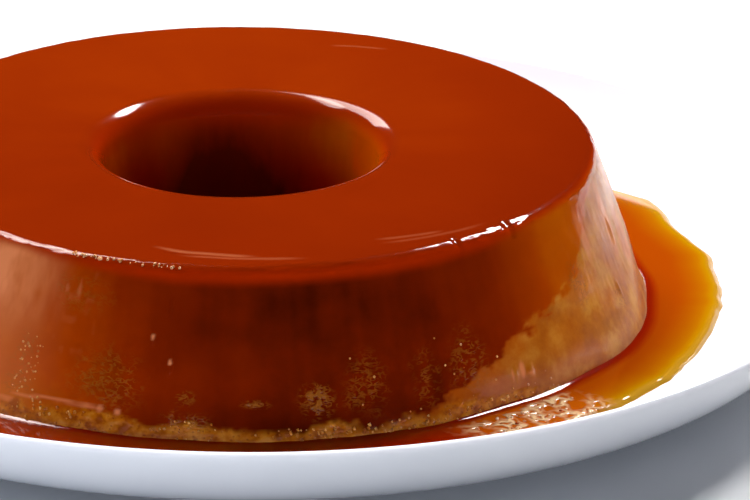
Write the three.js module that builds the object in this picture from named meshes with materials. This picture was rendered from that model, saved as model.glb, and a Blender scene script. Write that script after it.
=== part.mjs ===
// Creme caramel flan, served on its plate.
//
// A ring of set custard, turned out of a tapered ring mould, stands on a white coupe plate. The caramel that lined
// the mould is a soaked layer that runs through the top of the ring, from its outer shoulder to its hole. What ran
// off lies as a pool round the ring's foot, and as a small pool at the bottom of the hole.
//
// Millimetres, +Z up. The origin is the centre of the plate's foot ring, on the table. Each mesh is one real piece.

import * as THREE from "three";

// ---- Driving dimensions ----

const CLEARANCE = 0.3; // gap between pieces that touch

const PLATE = {
  radius: 160.2, // outside of the lip
  lipRound: 1.3, // radius of the rounded lip
  lipCentre: 18.5, // centre of the lip's round, above the well's floor
  lipSweep: 139, // degrees of the lip's round, from the outside over the top
  floorTop: 7.5, // floor of the well, above the table
  floorThickness: 4.5,
  wellRadius: 100, // where the flat floor starts to rise
  insidePower: 3.5, // how late the inside curves up
  undersidePower: 3.4, // the underside is flat near the foot ring
  undersideRoundness: 0.625, // and upright at the lip
  footRadius: 100, // outside of the foot ring
  footWidth: 5,
  footSlope: 1.5, // how much wider the foot ring is at its root, on each side
};

const FLAN = {
  centreX: -3.4, // the ring stands a little off the plate's middle
  height: 43.8, // above the well's floor
  footRadius: 110,
  footRound: 2.2, // rounded foot of the outer wall
  topRadius: 92.8, // outer edge of the flat top
  topOffset: [0.2, 0.75], // the ring leans a little as it stands
  shoulderRound: 2,
  wallLean: 20.8, // degrees that the outer wall leans in
  holeTopRadius: 43.8, // edge of the hole, where the top turns down into it
  holeRound: 7,
  holeLean: 7, // degrees that the hole's wall leans
  holeOffset: [0.7, -0.8], // the mould's tube wasn't quite in its middle
  caramelDepth: 4, // thickness of the soaked layer at the outer wall
  holeCaramelDepth: 7, // and in the hole, where it reaches below the rounded edge
};

const SAUCE = {
  level: 2.4, // surface of the pool, above the well's floor
  radius: 124.6, // mean radius of its edge
  edgeWidth: 4.5, // width of its rounded edge
  climb: 0.9, // how far it climbs the custard
  climbWidth: 3.5,
  holeLevel: 3, // surface of the pool in the hole
};

// Unevenness, as waves round the ring. Each row is [cycles, phase in radians, amplitude].
const UNEVEN = {
  swell: [[2, -2.57, 0.6], [3, 1.0, 0.2], [5, 2.25, 0.35]], // of the outer wall
  crags: [[11, 0.3, 0.25], [17, 1.9, 0.25], [24, 0.8, 0.2]], // at the wall's foot
  cragHeight: 12, // the crags fade out at this height
  hole: [[2, -1.35, 0.2], [3, 0.5, 0.35]], // of the hole's wall
  sag: [[1, 0.4, 1.0], [2, 0, 0.25], [4, 0.4, 0.2]], // of the top's height at its edge
  pool: [[1, 1.05, 2.4], [5, -0.7, 0.7], [9, 2.0, 0.35], [14, 0.4, 0.25]], // of the pool's edge
};

const PLATE_SEGMENTS = 80;
const RING_SEGMENTS = 96;
const HOLE_POOL_SEGMENTS = 48;

// ---- Helpers ----

const radians = THREE.MathUtils.degToRad;
const { clamp, lerp, smoothstep } = THREE.MathUtils;
const sinOf = (degrees) => Math.sin(radians(degrees));
const cosOf = (degrees) => Math.cos(radians(degrees));

function waves(angle, rows) {
  return rows.reduce((sum, [cycles, phase, size]) => sum + size * Math.sin(cycles * angle + phase), 0);
}

// Numbers from one value to another, both ends included.
function steps(from, to, count) {
  return Array.from({ length: count + 1 }, (_, i) => lerp(from, to, i / count));
}

// Points along an arc in the profile plane, both ends included. Angles are counted from outwards, up.
function arc([centreR, centreZ], radius, fromDegrees, toDegrees, count) {
  return steps(fromDegrees, toDegrees, count).map((a) => [centreR + radius * cosOf(a), centreZ + radius * sinOf(a)]);
}

// Closed band swept round the vertical axis. sectionAt(angle) gives its closed outline there as [x, y, z] points,
// from the underside outwards, up and back in.
function sweptBand(segments, sectionAt) {
  const sections = steps(0, 2 * Math.PI, segments).slice(0, segments).map(sectionAt);
  const count = sections[0].length;
  const indices = [];
  for (let i = 0; i < segments; i++) {
    for (let j = 0; j < count; j++) {
      const here = i * count;
      const next = ((i + 1) % segments) * count;
      const up = (j + 1) % count;
      indices.push(here + j, next + j, next + up, here + j, next + up, here + up);
    }
  }
  const geometry = new THREE.BufferGeometry();
  geometry.setAttribute("position", new THREE.Float32BufferAttribute(sections.flat(2), 3));
  geometry.setIndex(indices);
  geometry.computeVertexNormals();
  return geometry;
}

// Solid of revolution about +Z from a profile of [radius, z] points that starts and ends on the axis.
function turned(profile, segments) {
  const geometry = new THREE.LatheGeometry(profile.map(([r, z]) => new THREE.Vector2(r, z)), segments);
  return geometry.rotateX(Math.PI / 2);
}

function piece(name, geometry, colour, roughness) {
  const mesh = new THREE.Mesh(geometry, new THREE.MeshStandardMaterial({ color: colour, roughness, metalness: 0 }));
  mesh.name = name;
  return mesh;
}

// ---- Plate ----

// Last point of the lip's round, where it meets the inside.
const lipEnd = [
  PLATE.radius - PLATE.lipRound + PLATE.lipRound * cosOf(PLATE.lipSweep),
  PLATE.lipCentre + PLATE.lipRound * sinOf(PLATE.lipSweep),
];

// Height of the plate's inside above its floor.
function plateInside(radius) {
  const share = clamp((radius - PLATE.wellRadius) / (lipEnd[0] - PLATE.wellRadius), 0, 1);
  return lipEnd[1] * share ** PLATE.insidePower;
}

// Height of the underside above the well's floor. Its curve is a superellipse.
function plateUnderside(radius) {
  const share = clamp((radius - PLATE.wellRadius) / (PLATE.radius - PLATE.wellRadius), 0, 1);
  const rise = 1 - (1 - share ** PLATE.undersidePower) ** PLATE.undersideRoundness;
  return lerp(-PLATE.floorThickness, PLATE.lipCentre, rise);
}

function makePlate() {
  const footInner = PLATE.footRadius - PLATE.footWidth;
  const footRoot = PLATE.footRadius + PLATE.footSlope;
  const foot = [
    [footInner - PLATE.footSlope, -PLATE.floorThickness],
    [footInner, -PLATE.floorTop],
    [PLATE.footRadius, -PLATE.floorTop],
    [footRoot, -PLATE.floorThickness],
  ];
  // The points crowd together towards the lip, where the underside turns up.
  const underside = steps(0, 90, 9)
    .slice(1, -1)
    .map((degrees) => lerp(footRoot, PLATE.radius, sinOf(degrees)))
    .map((r) => [r, plateUnderside(r)]);
  const lip = arc([PLATE.radius - PLATE.lipRound, PLATE.lipCentre], PLATE.lipRound, 0, PLATE.lipSweep, 3);
  const inside = steps(lipEnd[0], PLATE.wellRadius, 8)
    .slice(1)
    .map((r) => [r, plateInside(r)]);
  const profile = [[0, -PLATE.floorThickness], ...foot, ...underside, ...lip, ...inside, [0, 0]];
  const onTable = profile.map(([r, z]) => [r, z + PLATE.floorTop]);
  return piece("plate", turned(onTable, PLATE_SEGMENTS), 0xf2f4f6, 0.12);
}

// ---- Flan ----

// Upper end of the outer wall, where the shoulder's round begins.
const wallTop = [
  FLAN.topRadius + FLAN.shoulderRound * cosOf(FLAN.wallLean),
  FLAN.height + FLAN.shoulderRound * (sinOf(FLAN.wallLean) - 1),
];

// The round at the hole's edge is counted from outwards, up.
const holeRoundEnd = 180 - FLAN.holeLean;
const holeRoundCentre = [FLAN.holeTopRadius, FLAN.height - FLAN.holeRound];
const holeWallTop = [
  holeRoundCentre[0] + FLAN.holeRound * cosOf(holeRoundEnd),
  holeRoundCentre[1] + FLAN.holeRound * sinOf(holeRoundEnd),
];

const outerSeam = FLAN.height - FLAN.caramelDepth;
const innerSeam = FLAN.height - FLAN.holeCaramelDepth;

// Radius of the outer wall at a height above the well's floor.
function wallRadius(z) {
  return lerp(FLAN.footRadius, wallTop[0], (z - FLAN.footRound) / (wallTop[1] - FLAN.footRound));
}

function holeRadius(z) {
  return holeWallTop[0] - (holeWallTop[1] - z) * Math.tan(radians(FLAN.holeLean));
}

// A point of the uneven ring, from its place in the regular profile. The wall swells and leans, the top sags a
// little towards its edge, the wall's foot is craggy, and the hole stands off the middle.
function flanPoint(angle, r, z) {
  const towardsHole = clamp((FLAN.topRadius - r) / (FLAN.topRadius - FLAN.holeTopRadius), 0, 1);
  const towardsFoot = smoothstep(UNEVEN.cragHeight - z, 0, UNEVEN.cragHeight);
  const wallShift = waves(angle, UNEVEN.swell) + towardsFoot * waves(angle, UNEVEN.crags);
  const holeShift = clamp(r / FLAN.holeTopRadius, 0, 1) * waves(angle, UNEVEN.hole);
  const radius = r + lerp(wallShift, holeShift, towardsHole);
  const upwards = z / FLAN.height;
  const offset = [0, 1].map((k) => lerp(upwards * FLAN.topOffset[k], FLAN.holeOffset[k], towardsHole));
  const lift = upwards * clamp(r / FLAN.topRadius, 0, 1) * waves(angle, UNEVEN.sag);
  return [
    FLAN.centreX + radius * Math.cos(angle) + offset[0],
    radius * Math.sin(angle) + offset[1],
    PLATE.floorTop + z + lift,
  ];
}

function flanBand(profile) {
  return sweptBand(RING_SEGMENTS, (angle) => profile.map(([r, z]) => flanPoint(angle, r, z)));
}

function makeCustard() {
  const foot = arc([FLAN.footRadius - FLAN.footRound, CLEARANCE + FLAN.footRound], FLAN.footRound, -90, 0, 3);
  // The first step of the wall ends where the sauce does, so that the two keep their gap.
  const wall = steps(SAUCE.level + SAUCE.climb, outerSeam - CLEARANCE, 6).map((z) => [wallRadius(z), z]);
  const hole = steps(innerSeam - CLEARANCE, CLEARANCE, 3).map((z) => [holeRadius(z), z]);
  return piece("custard", flanBand([...foot, ...wall, ...hole]), 0x8a4a18, 0.3);
}

function makeCaramelLayer() {
  const shoulderCentre = [FLAN.topRadius, FLAN.height - FLAN.shoulderRound];
  const shoulder = arc(shoulderCentre, FLAN.shoulderRound, FLAN.wallLean, 90, 4);
  const top = steps(FLAN.topRadius, FLAN.holeTopRadius, 3)
    .slice(1, -1)
    .map((r) => [r, FLAN.height]);
  const holeEdge = arc(holeRoundCentre, FLAN.holeRound, 90, holeRoundEnd, 5);
  const profile = [
    [wallRadius(outerSeam), outerSeam],
    ...shoulder,
    ...top,
    ...holeEdge,
    [holeRadius(innerSeam), innerSeam],
  ];
  return piece("caramel_layer", flanBand(profile), 0x9c2f05, 0.1);
}

// ---- Sauce ----

// One cut through the pool round the ring. It keeps its gap to the custard's wall and to the plate.
function poolSection(angle) {
  const beside = (r, z) => flanPoint(angle, r + CLEARANCE, z);
  const inner = beside(wallRadius(SAUCE.level + SAUCE.climb), SAUCE.level + SAUCE.climb);
  const edge = SAUCE.radius + waves(angle, UNEVEN.pool);
  const outer = [edge * Math.cos(angle), edge * Math.sin(angle)];
  const width = Math.hypot(outer[0] - inner[0], outer[1] - inner[1]);
  // A point at a distance outwards from the custard, at a height above the well's floor.
  const at = (distance, z) => {
    const share = distance / width;
    return [lerp(inner[0], outer[0], share), lerp(inner[1], outer[1], share), PLATE.floorTop + z];
  };
  const bottomUnder = ([x, y]) => plateInside(Math.hypot(x, y)) + CLEARANCE;
  const underneath = (share) => at(share * width, bottomUnder(at(share * width, 0)));
  const rim = bottomUnder(outer);
  const besideFoot = beside(FLAN.footRadius, CLEARANCE + FLAN.footRound);
  return [
    [besideFoot[0], besideFoot[1], PLATE.floorTop + bottomUnder(besideFoot)],
    underneath(0.5),
    underneath(0.8),
    underneath(1),
    at(width - 0.2 * SAUCE.edgeWidth, lerp(rim, SAUCE.level, 0.6)),
    at(width - 0.5 * SAUCE.edgeWidth, lerp(rim, SAUCE.level, 0.9)),
    at(width - SAUCE.edgeWidth, SAUCE.level),
    at(SAUCE.climbWidth, SAUCE.level),
    at(0.35 * SAUCE.climbWidth, SAUCE.level + 0.3 * SAUCE.climb),
    inner,
    besideFoot,
  ];
}

function makeSaucePool() {
  return piece("sauce_pool", sweptBand(RING_SEGMENTS, poolSection), 0xb34a00, 0.05);
}

function makeHolePool() {
  const climbTop = SAUCE.holeLevel + SAUCE.climb;
  const rimRadius = holeRadius(SAUCE.holeLevel) - CLEARANCE;
  const profile = [
    [0, CLEARANCE],
    [holeRadius(CLEARANCE) - CLEARANCE, CLEARANCE],
    [holeRadius(climbTop) - CLEARANCE, climbTop],
    [rimRadius - 0.35 * SAUCE.climbWidth, SAUCE.holeLevel + 0.3 * SAUCE.climb],
    [rimRadius - SAUCE.climbWidth, SAUCE.holeLevel],
    [0, SAUCE.holeLevel],
  ];
  const geometry = turned(profile, HOLE_POOL_SEGMENTS);
  // The disc takes the hole's own place and unevenness.
  const position = geometry.getAttribute("position");
  for (let i = 0; i < position.count; i++) {
    const [x, y, z] = [position.getX(i), position.getY(i), position.getZ(i)];
    position.setXYZ(i, ...flanPoint(Math.atan2(y, x), Math.hypot(x, y), z));
  }
  geometry.computeVertexNormals();
  return piece("sauce_in_hole", geometry, 0x8f3000, 0.05);
}

// ---- Assembly ----

const flan = new THREE.Group();
flan.add(makePlate(), makeCustard(), makeCaramelLayer(), makeSaucePool(), makeHolePool());

export default flan;
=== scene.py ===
"""Looks of a creme caramel flan on its plate.

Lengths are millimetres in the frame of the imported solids, and are turned to metres when a mesh is made.
The origin is the centre of the plate's foot on the table, +Z is up, and the flan is seen from the -Y side.
Angles are counted from +X towards +Y.
"""

import math

import bpy
import numpy as np
from mathutils import Matrix, Vector


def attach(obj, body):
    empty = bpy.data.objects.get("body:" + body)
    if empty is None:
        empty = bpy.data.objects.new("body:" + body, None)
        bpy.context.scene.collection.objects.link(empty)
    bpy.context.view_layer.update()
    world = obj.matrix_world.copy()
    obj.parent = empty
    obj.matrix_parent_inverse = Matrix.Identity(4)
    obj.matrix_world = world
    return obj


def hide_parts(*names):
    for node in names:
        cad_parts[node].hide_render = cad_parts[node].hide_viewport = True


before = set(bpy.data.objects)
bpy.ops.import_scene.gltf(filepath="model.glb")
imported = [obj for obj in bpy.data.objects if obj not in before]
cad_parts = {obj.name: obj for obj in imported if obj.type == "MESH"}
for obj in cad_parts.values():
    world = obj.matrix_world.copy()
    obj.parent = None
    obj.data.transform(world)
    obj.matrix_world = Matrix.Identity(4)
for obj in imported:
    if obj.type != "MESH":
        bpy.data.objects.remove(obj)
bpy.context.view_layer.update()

MM = 0.001
TURN = 2 * math.pi


# ---- Sizes, as in the solids ----

PLATE_RADIUS = 160.2
LIP_ROUND = 1.3
LIP_CENTRE = 18.5
LIP_SWEEP = math.radians(139)
FLOOR_TOP = 7.5
FLOOR_THICKNESS = 4.5
WELL_RADIUS = 100
INSIDE_POWER = 3.5
UNDERSIDE_POWER = 3.4
UNDERSIDE_ROUNDNESS = 0.625
FOOT_RADIUS = 100
FOOT_WIDTH = 5
FOOT_SLOPE = 1.5
FOOT_BEAD = 0.8  # radius of the foot ring's rounded edge
FOOT_START = 0.2  # how far under the underside the foot ring springs

RING_X = -3.4
RING_HEIGHT = 43.8
RING_FOOT = 110
FOOT_ROUND = 2.2
TOP_RADIUS = 92.8
TOP_OFFSET = (0.2, 0.75)
SHOULDER_ROUND = 2
WALL_LEAN = math.radians(20.8)
HOLE_TOP = 43.8
HOLE_ROUND = 7
HOLE_LEAN = math.radians(7)
HOLE_OFFSET = (0.7, -0.8)
CARAMEL_DEPTH = 4
HOLE_CARAMEL_DEPTH = 7

SAUCE_LEVEL = 2.4
SAUCE_RADIUS = 124.6
SAUCE_EDGE = 5.5
SAUCE_CLIMB = 0.9
SAUCE_CLIMB_WIDTH = 3.5
HOLE_SAUCE_LEVEL = 3

# Unevenness, as waves round the ring: each row is (cycles, phase, amplitude).
SWELL = ((2, -2.57, 0.6), (3, 1.0, 0.2), (5, 2.25, 0.35))
CRAGS = ((11, 0.3, 0.25), (17, 1.9, 0.25), (24, 0.8, 0.2))
CRAG_HEIGHT = 12
HOLE_SWELL = ((2, -1.35, 0.2), (3, 0.5, 0.35))
SAG = ((1, 0.4, 1.0), (2, 0, 0.25), (4, 0.4, 0.2))
POOL_EDGE = ((1, 1.05, 2.4), (5, -0.7, 0.7), (9, 2.0, 0.35), (14, 0.4, 0.25))

# ---- What the ring's skin shows ----

MARKS = ("soak", "turned", "tone", "film", "veil", "matt", "painted_sheen", "broken", "crust")

# Thickness of the caramel film round the wall: (degrees, share of the thickest).
FILM_ROUND = (
    (-180, 0.55), (-140, 0.38), (-125, 0.4), (-115, 0.54), (-107, 0.76), (-95, 0.9), (-82, 0.95),
    (-62, 0.9), (-50, 0.83), (-43, 0.64), (-36, 0.4), (-27, 0.36), (-18, 0.39), (0, 0.4), (40, 0.55),
    (90, 0.7), (140, 0.55), (180, 0.55),
)
# The same round the hole: thinner on the right side as painted light, where the light falls, and thicker at
# the back as painted shade, where that wall faces away from the light.
HOLE_FILM_AND_PAINTED_LIGHT = (
    (-180, 0.5), (-60, 0.6), (-20, 0.2), (0, -0.1), (26, -0.1), (42, 0.15), (66, 0.62), (90, 0.9),
    (108, 0.9), (125, 0.6), (150, 0.45), (180, 0.5),
)
# How high the film ran off: (degrees, mm).
VEIL_EDGE = (
    (-71, -4), (-68.5, 5.2), (-62.6, 7.8), (-57.5, 10.2), (-52.7, 13.2), (-48.9, 18.6), (-44.5, 20.3),
    (-39.3, 22.9), (-32.8, 24.7), (-28, 30), (-20.4, 37.5), (-12, 46), (35, 46), (60, 14), (80, -4),
    (140, -4), (160, 16), (180, -4),
)
VEIL_SOFTNESS = 2.0
# How much of its shine and colour the wall lost there, where the paler colour is partly a painted
# reflection: (degrees, share).
VEIL_STRENGTH = ((-180, 0.6), (-66, 0.35), (-52, 0.5), (-40, 0.7), (-25, 0.85), (0, 0.9), (180, 0.6))
# How far down the soaked layer's red reaches on the wall, and in the hole: (degrees, mm).
SOAK_FOOT = (
    (-180, 40.8), (-125, 40.8), (-112, 39.6), (-100, 38.4), (-60, 38.4), (-48, 39), (-38, 40.8), (0, 41),
    (60, 40), (180, 40.8),
)
SOAK_SOFTNESS = 3.4
HOLE_SOAK_FOOT = ((-180, 32), (-60, 32), (-25, 36), (40, 36), (75, 32), (180, 32))
# How high the porous foot reaches: (degrees, mm).
CRUST_TOP = (
    (-180, 6), (-125, 7.5), (-108, 8), (-102, 6.5), (-98, 8), (-92, 7), (-86, 5.6), (-75, 6), (-62, 6.2),
    (-50, 7), (-38, 4.5), (-25, 2), (20, 1.5), (60, 4), (90, 6), (180, 6),
)
CRUST_SOFTNESS = 2.4
CRUST_DRYNESS = 0.6
UPPER_WETNESS = 0.7  # how much of its dryness the bared wall loses higher up
THINNER_LEFT = 0.18  # how much thinner the film is low on the left
PAINTED_SHADE_IN_HOLE = 0.35  # how much darker the film is painted deep in the hole, as painted shade
LOST_WITH_VEIL = 0.45  # share of the film that went where it ran off
TOP_TONE_AND_PAINTED_LIGHT = (0.42, 0.25, 0.26)  # the soaked top's tone, how much painted light at the back, how much painted shade at the rim
LEFT_PAINTED_SHEEN = (-113, 19)  # where the painted sheen on the left of the wall starts, and over how many degrees
LOW_PAINTED_SHEEN = 0.36  # how strong that painted sheen is at its foot, as a share of its top
# strength of the painted sheen on the crests of the wall's wrinkles
WRINKLE_PAINTED_SHEEN = 1.3
# Places where bubbles in the mould broke the film: (degrees, height, half width in degrees, half height,
# strength).
BROKEN_FILM = (
    (-121.5, 15, 2.0, 9, 0.55), (-108.5, 15, 4.5, 6.5, 0.7), (-114, 35, 4.5, 4, 0.45),
    (-96.5, 5.5, 3.5, 3, 1.0), (-97.1, 12.5, 1.2, 1.6, 0.8), (-87.6, 11.4, 1.7, 0.8, 1.0),
    (-79.4, 11.9, 2.3, 3.6, 0.95), (-72.5, 14, 2.8, 6.5, 0.55), (-63.5, 14, 1.9, 6, 0.5),
    (-56.5, 16, 2.8, 7, 0.6), (-31, 23, 2.2, 5.5, 0.7), (-20, 13.5, 1.6, 3.5, 0.8),
)
HIDDEN_BREAKS = 14  # more such places, strewn round the back
# Where the wall wrinkled, in the same order. The strength is the relief in mm.
WRINKLED = (
    (-116.5, 36.5, 6, 3.6, 0.2), (-117, 26, 6, 7, 0.06), (-20, 22, 14, 16, 0.04), (120, 30, 20, 8, 0.12),
)
WRINKLE_SIZE = (1.2, 2.6)
WRINKLE_SEED = 81
# Drips of syrup that set on the wall, in the same order.
DRIPS = (
    (-102.1, 25.8, 0.38, 1.3, 0.3), (-99.4, 19.8, 0.42, 1.8, 0.3), (-99.7, 33.5, 0.22, 2.6, 0.25),
    (-14, 27, 0.6, 4, 0.4), (-19.5, 15, 0.5, 2, 0.3), (-46.4, 9, 0.5, 2.2, 0.3), (-49.2, 9.5, 0.5, 2, 0.3),
    (60, 24, 0.5, 3, 0.4), (155, 18, 0.5, 4, 0.4),
)
# Where beads of syrup stand on the skin and where crumbs lie, in the same order.
BEADED = (
    (-113.8, 43.4, 3, 0.22, 1.0), (-108.5, 43.35, 2.5, 0.2, 0.35), (-102, 43.25, 4, 0.25, 0.3),
    (-120.2, 15, 1.7, 9, 1.0), (-117, 5, 5, 3.5, 0.2), (-96.5, 5.5, 3.5, 3, 0.2), (-80, 4, 6, 2.2, 0.3),
    (-66, 4, 8, 2.5, 0.3), (-73, 14, 4, 8, 0.06), (-57, 16, 5, 8, 0.06), (-44, 6, 6, 3, 0.1),
    (70, 5, 40, 3, 0.15), (170, 5, 40, 3, 0.15),
)
CRUMBED = (
    (-96.5, 5, 4, 2.5, 0.5), (-80, 3.6, 6, 1.3, 1.0), (-68, 3.4, 7, 1.2, 0.9), (-54, 4, 8, 1.6, 0.5),
    (-116, 5.5, 5, 2, 0.4), (80, 3.5, 60, 1.3, 0.35),
)
# Where the soft wall bulges or leans: (degrees, half width in degrees, height, half height, how far).
SLUMPS = (
    (-50, 38, 21, 22, 1.1), (-28, 38, 5, 15, 1.8), (-116, 13, 3, 7, 0.8), (-138, 26, 42, 13, -1.1),
    (-77, 11, 0, 13, 0.7), (-63, 8, 0, 13, 0.8), (6, 24, 6, 13, -1.4),
)
# Relief of the wall's skin: (where, height in mm, its size round and along in mm, seed).
WALL_RELIEF = (("crust", 0.22, (2.6, 2.6), 31), ("broken", 0.05, (2, 1.4), 41), ("veil", 0.1, (4, 10), 91))
# Other unevenness of the skin, in layers of (strength, its size round and along in mm, seed).
UNEVEN = {
    "veil edge": ((2.6, (8, 2.8), 51), (1.6, (14, 12), 52), (1.8, (2.6, 1.5), 55)),
    "veil": ((0.35, (9, 12), 53),),
    "film": ((0.05, (25, 18), 3), (0.05, (5, 70), 5)),
    "broken edge": ((0.5, (3.5, 3.5), 21),),
    "crust edge": ((2.6, (4, 4), 8),),
    "left edge": ((0.12, (7, 14), 57),),
    "squiggles": ((0.55, (2.2, 6), 59),),
    "painted sheen edge": ((0.3, (2, 2), 63),),
}
# Dents in the wet shoulder: (degrees, half width in degrees).
DENTS = ((-53.8, 1.0), (-42.6, 1.3))
DENT_DEPTH = 0.3
WET_SHOULDER = 3.4
# The syrup on the shoulder stands in lumps: (degrees, half width in degrees, how much rougher it is there).
SHOULDER_ROUGHNESS = 0.08
SHOULDER_CHANGES = ((-44, 15, 0.08), (-60, 6, -0.06), (-31, 6, -0.06))
LUMP_SIZE = (5, 1.6)
LUMP_SINK = 0.03  # keeps the lumps inside the solid
RIPPLED_RADIUS = 79  # outside this the top is meshed finely
# Wrinkles in the top's skin, from one place to another: (degrees, radius, degrees, radius, height,
# painted sheen on the crest).
WRINKLES = (
    (-106, 81.4, -86, 86.2, 0.22, 0.32), (-101, 85.5, -78, 88.5, 0.14, 0.2),
    (-66, 81.4, -52, 85.2, 0.06, 0.16), (-66, 84.5, -44, 88.5, 0.08, 0.12), (72, 80.5, 60, 83, 0.1, 0.2),
)
WRINKLE_WIDTH = 1.1
WRINKLE_FADE = 0.25  # share of its length
# Painted highlights and sheen on the film: (degrees, height, half width in degrees, half height, strength).
PAINTED_SHEEN_SPOTS = (
    (-126.2, 3.6, 1.2, 0.8, 0.7), (-124.8, 5.2, 1.2, 0.8, 0.7), (-123, 6.8, 1.4, 0.6, 0.7),
    (-120, 8.2, 2.2, 0.45, 0.65), (-115.5, 8.8, 3.4, 0.4, 0.55), (-111, 8.5, 2.5, 0.4, 0.55),
    (-108.7, 8.3, 0.5, 0.7, 0.8), (-106.2, 8.0, 0.5, 0.7, 0.8),
    (-47.9, 10.2, 0.45, 1.8, 0.6), (-49.7, 9.6, 0.22, 1.3, 0.5), (-46.4, 8.8, 0.6, 0.6, 0.5),
    (-102.1, 26.6, 0.28, 0.5, 0.9), (-99.4, 20.8, 0.3, 0.5, 0.9),
    (-14, 30, 1.5, 9, 0.5), (-25, 33, 1.2, 6, 0.4), (-8, 22, 3, 8, 0.35),
)
# How high the sauce climbs the wet wall: (degrees, mm). Its edge is thinner than the solid's.
WET_CLIMB = (
    (-180, 0.8), (-112, 0.9), (-104, 0.35), (-64, 0.35), (-57, 1.3), (-20, 1.2), (0, 0.8), (180, 0.8),
)
WET_CLIMB_WIDTH = 2.8
WET_EDGE = 1.8
OPEN_DEPTH = 0.82  # how deep the sauce looks away from the ring
# Where the sauce is painted dark right up to the plate's lip, as painted shade from the ring, and where it
# froths: (degrees, share).
DARK_SAUCE_PAINTED_SHADE = ((-180, 0.9), (-62, 1.0), (-52, 0.6), (-46, 0.0), (100, 0.0), (130, 0.7), (180, 0.9))
FROTHY = (
    (-180, 0), (-64, 0), (-61, 0.4), (-56, 1), (-46, 1), (-41, 0), (95, 0), (100, 0.3), (108, 0), (180, 0),
)
# Bumps of the pool's edge: (degrees, half width in degrees, height).
POOL_BUMPS = ((31, 9, 2.6), (11, 5, 1.2), (-6, 3.5, 0.8), (-31, 5, 0.9), (21, 4, -0.6), (-46, 4, -0.5))

# Fineness of the meshes.
RING_STEPS = 1080
RING_CROWDING = 0.45  # the steps crowd together towards the front, where the skin is richest
WALL_STEP = 0.66
BRIM_STEP = 0.5
PLATE_STEPS = 360
POOL_STEPS = 720
HOLE_SAUCE_STEPS = 180
GRAIN_LEVEL = 2  # 80 faces on each bead and crumb
SHARP_ANGLE = math.radians(60)


# ---- Small helpers ----


def smoothstep(x):
    x = np.clip(x, 0, 1)
    return x * x * (3 - 2 * x)


def rise(x, start, over):
    """From 0 at start, smoothly to 1 at start + over. A negative over counts downwards."""
    return smoothstep((x - start) / over)


def hump(away, half_width):
    """1 where away is 0, falling smoothly to 0 at half_width on either side."""
    return smoothstep(1 - np.abs(away) / half_width)


def waves(angle, rows):
    return sum(size * np.sin(cycles * angle + phase) for cycles, phase, size in rows)


def degrees_from(angle, centre):
    """Degrees from a bearing round the ring, from -180 to 180."""
    return (np.degrees(angle) - centre + 180) % 360 - 180


def from_table(angle, table):
    """Values round the ring from rows of (degrees, value)."""
    return np.interp(degrees_from(angle, 0), *np.array(table).T)


def arc(centre, radius, start, end, count):
    """Points along an arc in the profile plane. Angles are counted from outwards, up."""
    a = np.linspace(start, end, count)
    return np.column_stack((centre[0] + radius * np.cos(a), centre[1] + radius * np.sin(a)))


def lengths(profile):
    """Distance along a profile to each of its points."""
    return np.concatenate(([0], np.cumsum(np.hypot(*np.diff(profile, axis=0).T))))


def evenly(profile, step):
    """The profile again, with its points about one step apart."""
    along = lengths(profile)
    at = np.linspace(0, along[-1], max(2, round(along[-1] / step) + 1))
    return np.column_stack([np.interp(at, along, column) for column in profile.T])


def swept(profile, angle, along):
    """Grids of the turn, the place along the skin, the radius and the height of a profile swept round."""
    turn, s = np.meshgrid(angle, along, indexing="ij")
    return turn, s, np.broadcast_to(profile[:, 0], turn.shape), np.broadcast_to(profile[:, 1], turn.shape)


def ring_noise(angle, along, cell, seed):
    """Smooth random relief from -1 to 1 that closes round the ring. cell is its size round and along."""
    columns = round(TURN * TOP_RADIUS / cell[0])
    rows = 97
    lattice = np.random.default_rng(seed).uniform(-1, 1, (columns, rows))
    u = angle / TURN * columns
    v = along / cell[1]
    i = np.floor(u).astype(int)
    j = np.floor(v).astype(int)
    fu = smoothstep(u - i)
    fv = smoothstep(v - j)

    def corner(a, b):
        return lattice[(i + a) % columns, (j + b) % rows]

    low = corner(0, 0) * (1 - fu) + corner(1, 0) * fu
    high = corner(0, 1) * (1 - fu) + corner(1, 1) * fu
    return low * (1 - fv) + high * fv


def rough_noise(angle, along, cell, seed):
    """ring_noise with two finer and weaker layers on top."""
    total = 0
    for k in range(3):
        finer = (cell[0] / 2**k, cell[1] / 2**k)
        total = total + ring_noise(angle, along, finer, seed + k) / 2**k
    return total / sum(1 / 2**k for k in range(3))


def uneven(name, angle, along):
    """Unevenness of the skin, from its layers in UNEVEN."""
    return sum(strength * rough_noise(angle, along, cell, seed) for strength, cell, seed in UNEVEN[name])


# ---- Meshes ----


def show(thing):
    bpy.context.scene.collection.objects.link(thing)
    return thing


def new_piece(name, verts, faces, material, attributes=None):
    """A smooth mesh object from points in mm. attributes holds one value, or one vector, for each point."""
    mesh = bpy.data.meshes.new(name)
    faces = faces.tolist() if hasattr(faces, "tolist") else faces
    mesh.from_pydata((np.asarray(verts) * MM).tolist(), [], faces)
    for key, values in (attributes or {}).items():
        values = np.asarray(values, np.float32)
        kind = "FLOAT" if values.ndim == 1 else "FLOAT_VECTOR"
        layer = mesh.attributes.new(key, kind, "POINT")
        layer.data.foreach_set("value" if values.ndim == 1 else "vector", values.ravel())
    mesh.shade_smooth()
    mesh.set_sharp_from_angle(angle=SHARP_ANGLE)
    mesh.materials.append(material)
    return show(bpy.data.objects.new(name, mesh))


def band_faces(rounds, count, closed=True):
    """Quads of a grid that closes round the axis, and round its own outline too if closed."""
    i, j = np.meshgrid(np.arange(rounds), np.arange(count if closed else count - 1), indexing="ij")
    after = (i + 1) % rounds
    up = (j + 1) % count
    quads = np.stack((i * count + j, after * count + j, after * count + up, i * count + up), axis=-1)
    return quads.reshape(-1, 4)


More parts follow.
